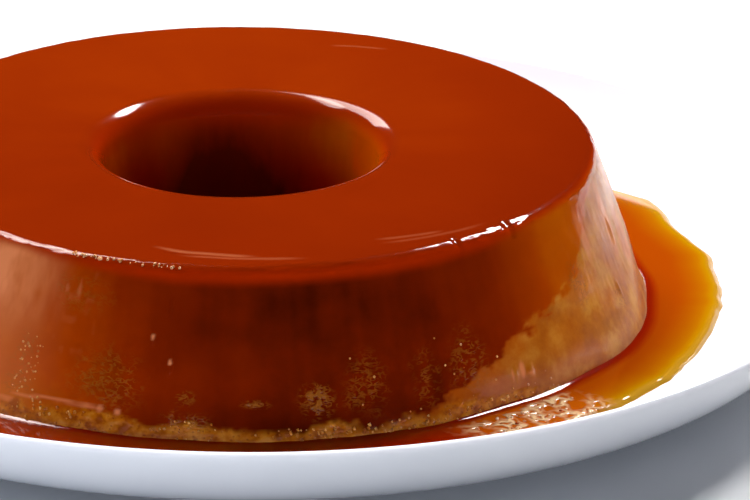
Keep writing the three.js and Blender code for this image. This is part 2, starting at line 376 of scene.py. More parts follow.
def capped_faces(rounds, count):
    """Quads of a turned grid whose first and last rows are closed by one face each."""
    faces = band_faces(rounds, count, closed=False).tolist()
    faces.append([i * count for i in reversed(range(rounds))])
    faces.append([i * count + count - 1 for i in range(rounds)])
    return faces


def settle(piece, slot, *nodes):
    """Puts a finished piece on the part, in place of its solids."""
    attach(piece, "root")
    if nodes:
        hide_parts(*nodes)


# ---- Materials ----


def linear(hex_colour):
    """sRGB hex colour as linear RGBA."""
    parts = [int(hex_colour[i : i + 2], 16) / 255 for i in (1, 3, 5)]
    return [c / 12.92 if c <= 0.04045 else ((c + 0.055) / 1.055) ** 2.4 for c in parts] + [1.0]


def new_material(name):
    """An empty node material and its tree."""
    material = bpy.data.materials.new(name)
    material.use_nodes = True
    material.node_tree.nodes.clear()
    return material, material.node_tree


def add(tree, kind, inputs=None, stops=(), **settings):
    """Adds a node. kind is its full type, or a shader node's without "ShaderNode".

    A value in inputs is a constant, an output to link, or a node whose first output is linked. stops are the
    (position, hex colour) rows of a colour ramp.
    """
    node = tree.nodes.new(kind if "Node" in kind else "ShaderNode" + kind)
    for key, value in settings.items():
        setattr(node, key, value)
    for key, value in (inputs or {}).items():
        if isinstance(value, bpy.types.Node):
            value = next(output for output in value.outputs if output.enabled)
        if isinstance(value, bpy.types.NodeSocket):
            tree.links.new(value, node.inputs[key])
        else:
            node.inputs[key].default_value = value
    while stops and len(node.color_ramp.elements) < len(stops):
        node.color_ramp.elements.new(0.5)
    for number, (position, colour) in enumerate(stops):
        node.color_ramp.elements[number].position = position
        node.color_ramp.elements[number].color = linear(colour)
    return node


def glazed_porcelain():
    """White porcelain, fired under a clear glaze: a bright diffuse body with a sharp, thin reflection."""
    material, tree = new_material("glazed_porcelain")
    place = add(tree, "TexCoord").outputs["Object"]
    # The glaze pulls into soft waves about 25 mm apart as it melts.
    glaze = add(tree, "TexNoise", {"Vector": place, "Scale": 1 / (25 * MM), "Detail": 1.0})
    bump = add(tree, "Bump", {"Height": glaze, "Strength": 0.12, "Distance": 0.3 * MM})
    body = add(tree, "TexNoise", {"Vector": place, "Scale": 1 / (60 * MM), "Detail": 2.0})
    colour = add(tree, "ValToRGB", {"Fac": body}, ((0.3, "#DCDEE4"), (0.7, "#E2E4E9")))
    look = {"Base Color": colour, "Roughness": 0.12, "IOR": 1.5, "Normal": bump}
    shader = add(tree, "BsdfPrincipled", look)
    add(tree, "OutputMaterial", {"Surface": shader})
    return material


def caramelled_skin(name):
    """The ring's skin, which changes without a seam from soaked top to filmed wall.

    Every attribute that it reads goes from 0 to 1, as ring_marks says, except skin, which is a place in mm.
    """
    material, tree = new_material(name)
    skin = add(tree, "Attribute", attribute_name="skin").outputs["Vector"]
    marks = {key: add(tree, "Attribute", attribute_name=key).outputs["Fac"] for key in MARKS}

    # The film of caramel: red-brown to nearly black where it is thick, ochre custard where it is bare.
    mottling = 0.14
    mottle = add(tree, "TexNoise", {"Vector": skin, "Scale": 1 / 9, "Detail": 4.0})
    thicker = add(tree, "Math", {0: mottle, 1: mottling, 2: marks["film"]}, operation="MULTIPLY_ADD")
    thickness = add(tree, "Math", {0: thicker, 1: mottling / 2}, operation="SUBTRACT")
    film_colours = (
        (0.0, "#F26C00"), (0.1, "#E0720A"), (0.25, "#CC6400"), (0.5, "#AC3E00"), (0.75, "#8C2700"),
        (0.9, "#741B00"), (1.0, "#4C0F00"),
    )
    filmed = add(tree, "ValToRGB", {"Fac": thickness}, film_colours)
    # Where the film ran off, the custard is dull and pale; the paler colour is partly a painted reflection
    # of the bright plate.
    dull = add(tree, "TexNoise", {"Vector": skin, "Scale": 1 / 8, "Detail": 5.0, "Roughness": 0.6})
    pale_and_painted_reflection_colours = ((0.34, "#8C4A02"), (0.5, "#AA660E"), (0.66, "#C48A2C"))
    pale = add(tree, "ValToRGB", {"Fac": dull}, pale_and_painted_reflection_colours)

    # Broken film curls into fine ridges, about 0.5 mm wide and 1.2 mm apart, and flakes off where it broke
    # most.
    lying = add(tree, "Mapping", {"Vector": skin, "Scale": (1 / 1.6, 1 / 1.6, 1 / 1.0)})
    curls = add(tree, "TexNoise", {"Vector": lying, "Scale": 1.0, "Detail": 1.0, "Distortion": 0.4})
    centred = add(tree, "Math", {0: curls, 1: 0.5}, operation="SUBTRACT")
    away = add(tree, "Math", {0: centred}, operation="ABSOLUTE")
    ridge = add(
        tree,
        "MapRange",
        {"Value": away, "From Min": 0.0, "From Max": 0.11, "To Min": 1.0, "To Max": 0.0},
    )
    gaps = add(tree, "TexNoise", {"Vector": skin, "Scale": 1 / 1.5, "Detail": 0.0})
    kept = add(tree, "MapRange", {"Value": gaps, "From Min": 0.34, "From Max": 0.56})
    curl = add(tree, "Math", {0: ridge, 1: kept}, operation="MULTIPLY")
    ridged = add(tree, "Math", {0: curl, 1: marks["broken"]}, operation="MULTIPLY")
    worst = add(tree, "MapRange", {"Value": marks["broken"], "From Min": 0.8, "From Max": 0.95})
    bits = add(tree, "TexNoise", {"Vector": skin, "Scale": 1 / 1.3, "Detail": 3.0})
    crazed = add(tree, "MapRange", {"Value": bits, "From Min": 0.42, "From Max": 0.55})
    flaked = add(tree, "Math", {0: worst, 1: crazed}, operation="MULTIPLY")
    bare = add(tree, "Math", {0: ridged, 1: flaked}, operation="MAXIMUM")

    # The foot is bare custard, mottled and with fine pores about 1 mm apart. The pores are painted darker
    # inside, as painted shade.
    grain = add(tree, "TexVoronoi", {"Vector": skin, "Scale": 1 / 1.1}, feature="SMOOTH_F1")
    patch = add(tree, "TexNoise", {"Vector": skin, "Scale": 1 / 2.6, "Detail": 4.0})
    sponge_colours = ((0.34, "#A04A04"), (0.5, "#C66E08"), (0.66, "#D88A24"))
    sponge = add(tree, "ValToRGB", {"Fac": patch}, sponge_colours)
    painted_pore_shade = add(tree, "ValToRGB", {"Fac": grain}, ((0.05, "#CCB090"), (0.3, "#FFFFFF")))
    porous = add(
        tree,
        "Mix",
        {"Factor": 1.0, "A": sponge, "B": painted_pore_shade},
        data_type="RGBA",
        blend_type="MULTIPLY",
    )

    # The soaked layer: clouds about 35 mm wide, where the custard took up more or less of the caramel. Where
    # the skin turns down a painted glow makes it a brighter red, in place of light that enters the top and
    # leaves there.
    clouds = add(tree, "TexNoise", {"Vector": skin, "Scale": 1 / 35, "Detail": 3.0})
    # tone brings painted light towards the back of the top and painted shade along its right rim.
    shade = add(tree, "Math", {0: clouds, 1: 0.35, 2: marks["tone"]}, operation="MULTIPLY_ADD")
    soaked_colours = ((0.2, "#7C1C00"), (0.675, "#902700"), (1.0, "#9E3200"))
    soaked = add(tree, "ValToRGB", {"Fac": shade}, soaked_colours)
    painted_glow_mix = {"Factor": marks["turned"], "A": soaked, "B": linear("#B42A00")}
    painted_glow = add(tree, "Mix", painted_glow_mix, data_type="RGBA")

    # Each layer hides what is under it by its share. The pink last one is painted sheen and highlights, in
    # place of reflections, and the soaked one carries a painted glow.
    colour = filmed
    for share, layer in (
        (marks["veil"], pale),
        (bare, linear("#965418")),
        (marks["crust"], porous),
        (marks["soak"], painted_glow),
        (marks["painted_sheen"], linear("#F0905C")),
    ):
        colour = add(tree, "Mix", {"Factor": share, "A": colour, "B": layer}, data_type="RGBA")

    # Heights in mm: streaks that run down the wall and fade on the soaked layer, then the ridges and flakes
    # of the film, then the pores of the foot.
    stretched = add(tree, "Mapping", {"Vector": skin, "Scale": (1 / 2.5, 1 / 2.5, 1 / 14)})
    streaks = add(tree, "TexNoise", {"Vector": stretched, "Scale": 1.0, "Detail": 2.0})
    fading = add(tree, "Math", {0: -0.045, 1: marks["soak"], 2: 0.05}, operation="MULTIPLY_ADD")
    height = add(tree, "Math", {0: streaks, 1: fading}, operation="MULTIPLY")
    pores = add(tree, "Math", {0: grain, 1: marks["crust"]}, operation="MULTIPLY")
    for relief, size in ((ridged, 0.025), (flaked, 0.05), (pores, 0.16)):
        height = add(tree, "Math", {0: relief, 1: size, 2: height}, operation="MULTIPLY_ADD")
    bump = add(tree, "Bump", {"Height": height, "Strength": 1.0, "Distance": 1.0 * MM})
    # Syrup shines, and bare custard is duller.
    roughness = 0.09
    for share, extra in ((marks["veil"], 0.16), (marks["crust"], 0.1)):
        roughness = add(tree, "Math", {0: share, 1: extra, 2: roughness}, operation="MULTIPLY_ADD")
    look = {"Base Color": colour, "Normal": bump}
    wet = add(tree, "BsdfPrincipled", {**look, "Roughness": roughness, "IOR": 1.38})
    dried = add(tree, "BsdfPrincipled", {**look, "Roughness": 0.45, "Specular IOR Level": 0.07})
    shader = add(tree, "MixShader", {0: marks["matt"], 1: wet, 2: dried})
    add(tree, "OutputMaterial", {"Surface": shader})
    return material


def caramel_soaked_custard():
    """Custard that lay in the caramel: deep amber red all through, and wet with syrup, so it shines."""
    return caramelled_skin("caramel_soaked_custard")


def custard_under_caramel_film():
    """Set custard behind a film of caramel: ochre where it is bare, dark where the film is thick."""
    return caramelled_skin("custard_under_caramel_film")


def caramel_sauce():
    """Thin caramel sauce, with the smooth surface of a liquid.

    It is yellow where it is thin over the white plate, and deep orange where it is deep. Next to the ring
    and along the front its dark red is painted shade.
    """
    material, tree = new_material("caramel_sauce")
    # depth is the sauce's depth, and also painted shade next to the ring and along the front.
    depth = add(tree, "Attribute", attribute_name="depth").outputs["Fac"]
    depth_colours = (
        (0.0, "#C29028"), (0.15, "#BE8600"), (0.35, "#BA7000"), (0.6, "#B25A00"), (0.82, "#AC4600"),
        (0.93, "#A43200"), (1.0, "#961A00"),
    )
    colour = add(tree, "ValToRGB", {"Fac": depth}, depth_colours)
    # Froth: bubbles about 3 mm wide, drawn out of shape, with pale rims where their walls meet; the rims'
    # pale colour is partly painted highlight, in place of light reflected in the froth.
    froth = add(tree, "Attribute", attribute_name="froth").outputs["Fac"]
    place = add(tree, "TexCoord").outputs["Object"]
    drawn = add(tree, "TexNoise", {"Vector": place, "Scale": 1 / (4 * MM), "Detail": 1.0})
    pull = {0: drawn.outputs["Color"], 1: (5 * MM, 5 * MM, 0.0), 2: place}
    pulled = add(tree, "VectorMath", pull, operation="MULTIPLY_ADD")
    walls = add(
        tree,
        "TexVoronoi",
        {"Vector": pulled, "Scale": 1 / (3.2 * MM)},
        feature="DISTANCE_TO_EDGE",
        voronoi_dimensions="2D",
    )
    rims = add(
        tree,
        "MapRange",
        {"Value": walls, "From Min": 0.08, "From Max": 0.36, "To Min": 1.0, "To Max": 0.0},
    )
    drier = add(tree, "TexNoise", {"Vector": place, "Scale": 1 / (6 * MM), "Detail": 1.0})
    paler = add(tree, "MapRange", {"Value": drier, "From Min": 0.4, "From Max": 0.56})
    curls = add(tree, "Math", {0: rims, 1: paler}, operation="MULTIPLY")
    pale_rims_and_painted_highlights = add(tree, "Math", {0: curls, 1: froth}, operation="MULTIPLY")
    for share, layer in ((froth, linear("#C05808")), (pale_rims_and_painted_highlights, linear("#FFD8A4"))):
        colour = add(tree, "Mix", {"Factor": share, "A": colour, "B": layer}, data_type="RGBA")
    bump = add(tree, "Bump", {"Height": pale_rims_and_painted_highlights, "Strength": 1.0, "Distance": 0.5 * MM})
    look = {"Base Color": colour, "Roughness": 0.05, "IOR": 1.4, "Normal": bump}
    shader = add(tree, "BsdfPrincipled", look)
    add(tree, "OutputMaterial", {"Surface": shader})
    return material


# ---- Plate ----

LIP_END = (
    PLATE_RADIUS - LIP_ROUND + LIP_ROUND * math.cos(LIP_SWEEP),
    LIP_CENTRE + LIP_ROUND * math.sin(LIP_SWEEP),
)


def plate_inside(radius):
    """Height of the plate's inside above the well's floor."""
    share = np.clip((radius - WELL_RADIUS) / (LIP_END[0] - WELL_RADIUS), 0, 1)
    return LIP_END[1] * share**INSIDE_POWER


def plate_underside(radius):
    """Height of the plate's underside, counted the same way."""
    share = np.clip((radius - WELL_RADIUS) / (PLATE_RADIUS - WELL_RADIUS), 0, 1)
    climbed = 1 - (1 - share**UNDERSIDE_POWER) ** UNDERSIDE_ROUNDNESS
    return -FLOOR_THICKNESS + (LIP_CENTRE + FLOOR_THICKNESS) * climbed


def make_plate(material):
    """The coupe plate, turned from a fine profile with a rounded foot ring."""
    inner = FOOT_RADIUS - FOOT_WIDTH
    root = FOOT_RADIUS + FOOT_SLOPE
    spring = -FLOOR_THICKNESS - FOOT_START
    foot = np.concatenate(
        (
            [(inner - FOOT_SLOPE - 3, -FLOOR_THICKNESS), (inner - FOOT_SLOPE, spring)],
            arc((inner + FOOT_BEAD, -FLOOR_TOP + FOOT_BEAD), FOOT_BEAD, math.pi, 1.5 * math.pi, 6),
            arc((FOOT_RADIUS - FOOT_BEAD, -FLOOR_TOP + FOOT_BEAD), FOOT_BEAD, -0.5 * math.pi, 0, 6),
            [(root, spring), (root + 2, plate_underside(root + 2))],
        )
    )
    reach = root + 4 + (PLATE_RADIUS - root - 4) * np.sin(np.linspace(0, math.pi / 2, 60))[:-1]
    underside = np.column_stack((reach, plate_underside(reach)))
    lip = arc((PLATE_RADIUS - LIP_ROUND, LIP_CENTRE), LIP_ROUND, 0, LIP_SWEEP, 14)
    inward = np.linspace(LIP_END[0], WELL_RADIUS - 4, 60)[1:]
    inside = np.column_stack((inward, plate_inside(inward)))
    # Both poles are closed by a small flat face.
    profile = np.concatenate(([(0.5, -FLOOR_THICKNESS)], foot, underside, lip, inside, [(0.5, 0)]))
    profile[:, 1] += FLOOR_TOP
    angle = np.arange(PLATE_STEPS) * TURN / PLATE_STEPS
    turn, _, r, z = swept(profile, angle, profile[:, 0])
    points = np.stack((np.cos(turn) * r, np.sin(turn) * r, z), axis=-1)
    return new_piece("white_plate", points.reshape(-1, 3), capped_faces(PLATE_STEPS, len(profile)), material)


# ---- Ring of custard ----

WALL_TOP = (
    TOP_RADIUS + SHOULDER_ROUND * math.cos(WALL_LEAN),
    RING_HEIGHT + SHOULDER_ROUND * (math.sin(WALL_LEAN) - 1),
)
HOLE_END = math.pi - HOLE_LEAN
HOLE_WALL_TOP = (
    HOLE_TOP + HOLE_ROUND * math.cos(HOLE_END),
    RING_HEIGHT - HOLE_ROUND + HOLE_ROUND * math.sin(HOLE_END),
)
OUTER_SEAM = RING_HEIGHT - CARAMEL_DEPTH
INNER_SEAM = RING_HEIGHT - HOLE_CARAMEL_DEPTH


def wall_radius(z):
    share = (z - FOOT_ROUND) / (WALL_TOP[1] - FOOT_ROUND)
    return RING_FOOT + (WALL_TOP[0] - RING_FOOT) * share


def hole_radius(z):
    return HOLE_WALL_TOP[0] - (HOLE_WALL_TOP[1] - z) * math.tan(HOLE_LEAN)


def slump(angle, z):
    """How far the soft wall bulges or leans from the regular ring."""
    total = 0 * angle
    for centre, half_width, height, half_height, depth in SLUMPS:
        across = hump(degrees_from(angle, centre), half_width)
        total = total + depth * across * hump(z - height, half_height)
    return total


def ring_points(angle, r, z):
    """Points of the uneven ring from their places in the regular profile."""
    to_hole = np.clip((TOP_RADIUS - r) / (TOP_RADIUS - HOLE_TOP), 0, 1)
    to_foot = rise(z, CRAG_HEIGHT, -CRAG_HEIGHT)
    wall_shift = waves(angle, SWELL) + to_foot * waves(angle, CRAGS) + slump(angle, z)
    hole_shift = np.clip(r / HOLE_TOP, 0, 1) * waves(angle, HOLE_SWELL)
    radius = r + (1 - to_hole) * wall_shift + to_hole * hole_shift
    upwards = z / RING_HEIGHT
    x_shift = (1 - to_hole) * upwards * TOP_OFFSET[0] + to_hole * HOLE_OFFSET[0]
    y_shift = (1 - to_hole) * upwards * TOP_OFFSET[1] + to_hole * HOLE_OFFSET[1]
    lift = upwards * np.clip(r / TOP_RADIUS, 0, 1) * waves(angle, SAG)
    return np.stack(
        (RING_X + radius * np.cos(angle) + x_shift, radius * np.sin(angle) + y_shift, FLOOR_TOP + z + lift),
        axis=-1,
    )


def skin_map(angle, along):
    """Place on the ring's skin in mm, for patterns that follow it: two values run round, the third along."""
    return np.stack((TOP_RADIUS * np.cos(angle), TOP_RADIUS * np.sin(angle), along), axis=-1).reshape(-1, 3)


def ring_angles():
    """Angles of the ring's sections. They crowd together towards the front."""
    even = np.arange(RING_STEPS) * TURN / RING_STEPS
    return even - RING_CROWDING * np.sin(even + math.pi / 2)


def wall_profile():
    """The outer wall, from its foot on the plate up to the caramel layer's seam."""
    foot = arc((RING_FOOT - FOOT_ROUND, FOOT_ROUND), FOOT_ROUND, -math.pi / 2, 0, 8)
    straight = np.array([(wall_radius(z), z) for z in (FOOT_ROUND + 0.5, OUTER_SEAM)])
    return evenly(np.concatenate((foot, straight)), WALL_STEP)


CAP_ALONG = lengths(wall_profile())[-1]  # where the caramel layer starts on the skin


def brim_radius():
    """Where the flat top turns into the shoulder, which the syrup makes a little softer than the solid's."""
    return TOP_RADIUS - (WET_SHOULDER - SHOULDER_ROUND) * math.tan((math.pi / 2 - WALL_LEAN) / 2)


def cap_profile():
    """The caramel layer's skin, from its outer seam over the shoulder and the top into the hole."""
    shoulder = arc((brim_radius(), RING_HEIGHT - WET_SHOULDER), WET_SHOULDER, WALL_LEAN, math.pi / 2, 18)
    upright = np.linspace(OUTER_SEAM, shoulder[0, 1], 5)[:-1]
    brim = np.arange(brim_radius() - BRIM_STEP, RIPPLED_RADIUS, -BRIM_STEP)
    flat = np.linspace(brim[-1], HOLE_TOP, 20)[1:-1]
    hole = arc((HOLE_TOP, RING_HEIGHT - HOLE_ROUND), HOLE_ROUND, math.pi / 2, HOLE_END, 16)
    top = np.concatenate((brim, flat))
    return np.concatenate(
        (
            np.column_stack((wall_radius(upright), upright)),
            shoulder,
            np.column_stack((top, np.full(len(top), RING_HEIGHT))),
            hole,
            [(hole_radius(INNER_SEAM), INNER_SEAM)],
        )
    )


def patches(angle, z, rows, ragged=0.0):
    """The strongest of the patches in rows at each point.

    Each row is (degrees, height, half width in degrees, half height, strength). ragged wears edges away.
    """
    total = np.zeros(angle.shape)
    for centre, height, half_width, half_height, strength in rows:
        away = np.hypot(degrees_from(angle, centre) / half_width, (z - height) / half_height)
        total = np.maximum(total, strength * smoothstep(1.5 - away - ragged))
    return total


def broken_film(angle, z):
    """How far bubbles in the mould broke the film, from 0 to 1, with ragged edges."""
    unseen = np.random.default_rng(17)
    hidden = [
        (unseen.uniform(5, 215), unseen.uniform(8, 22), unseen.uniform(2, 5), unseen.uniform(3, 8), 0.75)
        for _ in range(HIDDEN_BREAKS)
    ]
    return patches(angle, z, (*BROKEN_FILM, *hidden), uneven("broken edge", angle, z))


def wall_relief(angle, z, along, marks):
    """How far the wall's skin stands out in mm: lumps of the foot, broken film, runs, wrinkles and drips."""
    relief = 0
    for key, height, cell, seed in WALL_RELIEF:
        relief = relief + height * marks[key].reshape(angle.shape) * rough_noise(angle, along, cell, seed)
    relief = relief + patches(angle, z, WRINKLED) * ring_noise(angle, along, WRINKLE_SIZE, WRINKLE_SEED)
    for centre, height, half_width, half_height, depth in DRIPS:
        away = np.hypot(degrees_from(angle, centre) / half_width, (z - height) / half_height)
        relief = relief + depth * np.sqrt(np.clip(1 - away**2, 0, 1))
    return relief


def wrinkle_line(angle, start, start_radius, end, end_radius):
    """The radius at which a wrinkle of the top runs, and how strong it is there, fading at its ends."""
    share = degrees_from(angle, start) / (end - start)
    wander = 0.5 * ring_noise(angle, 0 * angle, (9, 9), 71)
    line = start_radius + (end_radius - start_radius) * share + wander
    return line, smoothstep(share / WRINKLE_FADE) * smoothstep((1 - share) / WRINKLE_FADE)


def soaked_share(angle, z, outside):
    """How much of the soaked layer's colour the skin has. It fades out downwards."""
    foot = from_table(angle, SOAK_FOOT)
    upper = rise(z, foot, np.minimum(SOAK_SOFTNESS, RING_HEIGHT - 0.4 - foot))
    hole_foot = from_table(angle, HOLE_SOAK_FOOT)
    in_hole = rise(z, hole_foot, RING_HEIGHT - hole_foot - 1)
    return np.where(outside > 0, upper, in_hole)


def top_tone_and_painted_light(angle, r):
    """How light the soaked top is: painted light towards the back, and painted shade along its right rim."""
    plain, lighter, darker = TOP_TONE_AND_PAINTED_LIGHT
    back = 0.5 + 0.5 * np.sin(angle)
    rim = rise(r, start=55, over=40) * (0.5 + 0.5 * np.cos(angle + 0.2)) ** 3
    return np.clip(plain + lighter * back - darker * rim, 0, 1)


def before_back(angle):
    """Fades what belongs to the left of the front to nothing at the back, where the degrees start again."""
    return rise(degrees_from(angle, 0), start=-178, over=30)


def wall_painted_sheen(angle, z, along):
    """Painted sheen on the wet wall, in place of reflections: at the left, in listed spots and on wrinkles.
    """
    start, over = LEFT_PAINTED_SHEEN
    left = smoothstep((start - degrees_from(angle, 0)) / over + uneven("left edge", angle, along))
    left = left * before_back(angle)
    squiggles = 1 + uneven("squiggles", angle, along) * rise(z, start=22, over=8)
    painted_sheen = left * (LOW_PAINTED_SHEEN + (1 - LOW_PAINTED_SHEEN) * rise(z, start=18, over=20)) * squiggles
    painted_sheen = np.maximum(painted_sheen, patches(angle, z, PAINTED_SHEEN_SPOTS, uneven("painted sheen edge", angle, z)))
    # Only the crests of the wrinkles get the painted sheen.
    folds = np.clip(2.4 * ring_noise(angle, along, WRINKLE_SIZE, WRINKLE_SEED) - 0.6, 0, 1)
    return np.clip(np.maximum(painted_sheen, WRINKLE_PAINTED_SHEEN * patches(angle, z, WRINKLED) * folds), 0, 1)


def film_thickness(angle, z, along, outside, bared):
    """How thick the caramel lies, from 0 to 1. It is thinner low on the left and where it ran off. In the
    hole it also carries painted light on the right side, and painted shade at the back and deep down.
    """
    low_left = THINNER_LEFT * rise(z, start=16, over=-12) * rise(degrees_from(angle, 0), start=-104, over=-8)
    low_left = low_left * before_back(angle)
    on_wall = from_table(angle, FILM_ROUND) + uneven("film", angle, along) - low_left
    painted_shade_deep_in_hole = PAINTED_SHADE_IN_HOLE * rise(z, start=36, over=-24)
    film = np.where(outside > 0, on_wall, from_table(angle, HOLE_FILM_AND_PAINTED_LIGHT) + painted_shade_deep_in_hole)
    return film - LOST_WITH_VEIL * bared * film


def ring_marks(angle, r, z, along):
    """What the ring's skin shows at each point, from 0 to 1, by the names in MARKS.

    soak is the share of the soaked layer's colour, turned how far its skin turns down, which sets a painted
    glow, tone how light the top is, with painted light at its back and painted shade at its right rim, film
    how thick the caramel lies, with painted light and shade in the hole, veil where it ran off, whose paler
    colour is partly a painted reflection, matt where the skin dried, haze the painted sheen and highlights
    in place of reflections, broken where bubbles broke the film, crust the porous foot.
    """
    outside = (r > (HOLE_TOP + TOP_RADIUS) / 2).astype(float)
    soak = soaked_share(angle, z, outside)
    # The skin turns down over a shorter drop at the shoulder than at the hole; turned sets the painted glow.
    drop = np.where(outside > 0, 1.4, 3.5)
    turned = rise(z, RING_HEIGHT - 0.05, -drop)
    edge = from_table(angle, VEIL_EDGE) + uneven("veil edge", angle, along)
    bared = outside * rise(z, edge, -VEIL_SOFTNESS)
    patchy = 0.85 + uneven("veil", angle, along)
    veil = bared * np.clip(from_table(angle, VEIL_STRENGTH) * patchy, 0, 1) * (1 - soak)
    # Painted sheen and highlights, in place of reflections, on the wall and on the crests of the top's
    # wrinkles.
    painted_sheen = wall_painted_sheen(angle, z, along) * outside * (1 - soak)
    for *ends, _, painted_sheen_share in WRINKLES:
        line, fade = wrinkle_line(angle, *ends)
        crest = hump(r - line - 0.6, WRINKLE_WIDTH) * (z > RING_HEIGHT - 1)
        painted_sheen = np.maximum(painted_sheen, painted_sheen_share * fade * crest)
    film = film_thickness(angle, z, along, outside, bared)
    crust_top = from_table(angle, CRUST_TOP) + uneven("crust edge", angle, along)
    crust = outside * rise(z, crust_top, -CRUST_SOFTNESS)
    # The upper part of the bared wall is wetter than the rest of it.
    matt = np.maximum(veil * (1 - UPPER_WETNESS * rise(z, start=20, over=16)), CRUST_DRYNESS * crust)
    broken = outside * broken_film(angle, z)
    marks = (soak, turned, top_tone_and_painted_light(angle, r), film, veil, matt, painted_sheen, broken, crust)
    return {key: mark.ravel() for key, mark in zip(MARKS, marks)}


def make_custard(material):
    """The custard ring, with its relief and how thick the caramel film lies on it."""
    wall = wall_profile()
    hole_z = np.linspace(INNER_SEAM, 0, 16)
    profile = np.concatenate((wall, np.column_stack((hole_radius(hole_z), hole_z))))
    along = np.concatenate((lengths(wall), CAP_ALONG + lengths(cap_profile())[-1] + INNER_SEAM - hole_z))
    turn, s, r, z = swept(profile, ring_angles(), along)
    marks = ring_marks(turn, r, z, s)
    outside = r > HOLE_TOP + HOLE_ROUND
    # The relief fades out towards the seam and the plate.
    settled = outside * rise(z, OUTER_SEAM, over=-2) * rise(z, start=0, over=2)
    points = ring_points(turn, r + settled * wall_relief(turn, z, s, marks), z)
    attributes = {"skin": skin_map(turn, s), **marks}
    attributes["beads"] = (outside * patches(turn, z, BEADED)).ravel()
    attributes["crumbs"] = (outside * patches(turn, z, CRUMBED)).ravel()
    faces = band_faces(RING_STEPS, len(profile))
    return new_piece("custard_ring", points.reshape(-1, 3), faces, material, attributes)


def make_caramel_cap(material):
    """The soaked layer: its skin, closed underneath along the seam."""
    profile = cap_profile()
    turn, s, r, z = swept(profile, ring_angles(), CAP_ALONG + lengths(profile))
    # Syrup stands in low lumps along the shoulder, and in a few wrinkles on the top inside it.
    shoulder = rise(r, start=91, over=1.5) * rise(z, OUTER_SEAM, over=1.2)
    roughness = SHOULDER_ROUGHNESS
    for centre, half_width, change in SHOULDER_CHANGES:
        roughness = roughness + change * hump(degrees_from(turn, centre), half_width)
    lumps = shoulder * (roughness * rough_noise(turn, s, LUMP_SIZE, 61) - LUMP_SINK)
    for centre, half_width in DENTS:
        lumps = lumps - DENT_DEPTH * shoulder * hump(degrees_from(turn, centre), half_width)
    wrinkles = np.zeros(turn.shape)
    for *ends, height, _ in WRINKLES:
        line, fade = wrinkle_line(turn, *ends)
        wrinkles = wrinkles - height * fade * rise(r, line, WRINKLE_WIDTH) * rise(r, line + 4, over=-3)
    points = ring_points(turn, r + lumps, z + lumps + wrinkles)
    attributes = {"skin": skin_map(turn, s), **ring_marks(turn, r, z, s)}
    attributes["beads"] = ((r > brim_radius()) * patches(turn, z, BEADED)).ravel()
    faces = band_faces(RING_STEPS, len(profile))
    return new_piece("caramel_top", points.reshape(-1, 3), faces, material, attributes)


# ---- Sauce ----


def make_sauce_pool(material):
    """The pool round the ring, from the custard's wall to its rounded edge on the plate."""
    angle = np.arange(POOL_STEPS) * TURN / POOL_STEPS
    wet_climb = from_table(angle, WET_CLIMB)
    climb_top = SAUCE_LEVEL + wet_climb
    inner = ring_points(angle, wall_radius(climb_top) - 0.6, climb_top)
    edge = SAUCE_RADIUS + waves(angle, POOL_EDGE) + 0.25 * ring_noise(angle, 0 * angle, (3, 1), 101)
    for centre, half_width, height in POOL_BUMPS:
        edge = edge + height * hump(degrees_from(angle, centre), half_width)
    outer = np.stack((edge * np.cos(angle), edge * np.sin(angle), np.zeros(POOL_STEPS)), axis=-1)
    width = np.hypot(*(outer - inner)[:, :2].T)
    rows = []
    depths = []
    froths = []

    def bed(at, sink):
        """Height of the plate under the sauce, which reaches a little into it."""
        return plate_inside(np.hypot(at[:, 0], at[:, 1])) - sink

    # From the custard outwards: the climb, the level surface, and the edge, which tapers to nothing.
    climbed = 0.4
    levelled = 0.86
    shares = (
        np.linspace(0, climbed, 24)[:-1],
        np.linspace(climbed, levelled, 10)[:-1],
        np.linspace(levelled, 1, 16),
    )
    for share in np.concatenate(shares):
        at = inner + (outer - inner) * share
        distance = share * width
        from_edge = width - distance
        floor = bed(at, 0.05)
        climb = wet_climb * np.clip(1 - distance / WET_CLIMB_WIDTH, 0, 1) ** 2
        fullness = 1 - (1 - np.clip(from_edge / WET_EDGE, 0, 1)) ** 2
        level = floor + (SAUCE_LEVEL + climb - floor) * fullness
        rows.append(np.column_stack((at[:, :2], FLOOR_TOP + level)))
        thinned = rise(from_edge, start=0, over=13)
        thinned = OPEN_DEPTH * (0.3 + 0.7 * thinned) * rise(from_edge, start=0, over=SAUCE_EDGE)
        # Next to the ring, and along the front, the dark red is painted shade from the ring.
        painted_shade_by_ring = np.maximum(from_table(angle, DARK_SAUCE_PAINTED_SHADE), smoothstep(1.1 - distance / 12))
        depths.append(np.maximum(thinned, painted_shade_by_ring))
        beyond = rise(distance, start=2.8, over=1.2) * rise(from_edge, start=0, over=1.5)
        froths.append(beyond * from_table(angle, FROTHY))
    for share in (0.97, 0.5, 0):
        at = inner + (outer - inner) * share
        rows.append(np.column_stack((at[:, :2], FLOOR_TOP + bed(at, 0.1))))
        depths.append(np.ones(POOL_STEPS))
        froths.append(np.zeros(POOL_STEPS))
    points = np.stack(rows[::-1], axis=1)
    attributes = {
        "depth": np.stack(depths[::-1], axis=1).ravel(),
        "froth": np.stack(froths[::-1], axis=1).ravel(),
    }
    faces = band_faces(POOL_STEPS, len(rows))
    return new_piece("sauce_round_ring", points.reshape(-1, 3), faces, material, attributes)


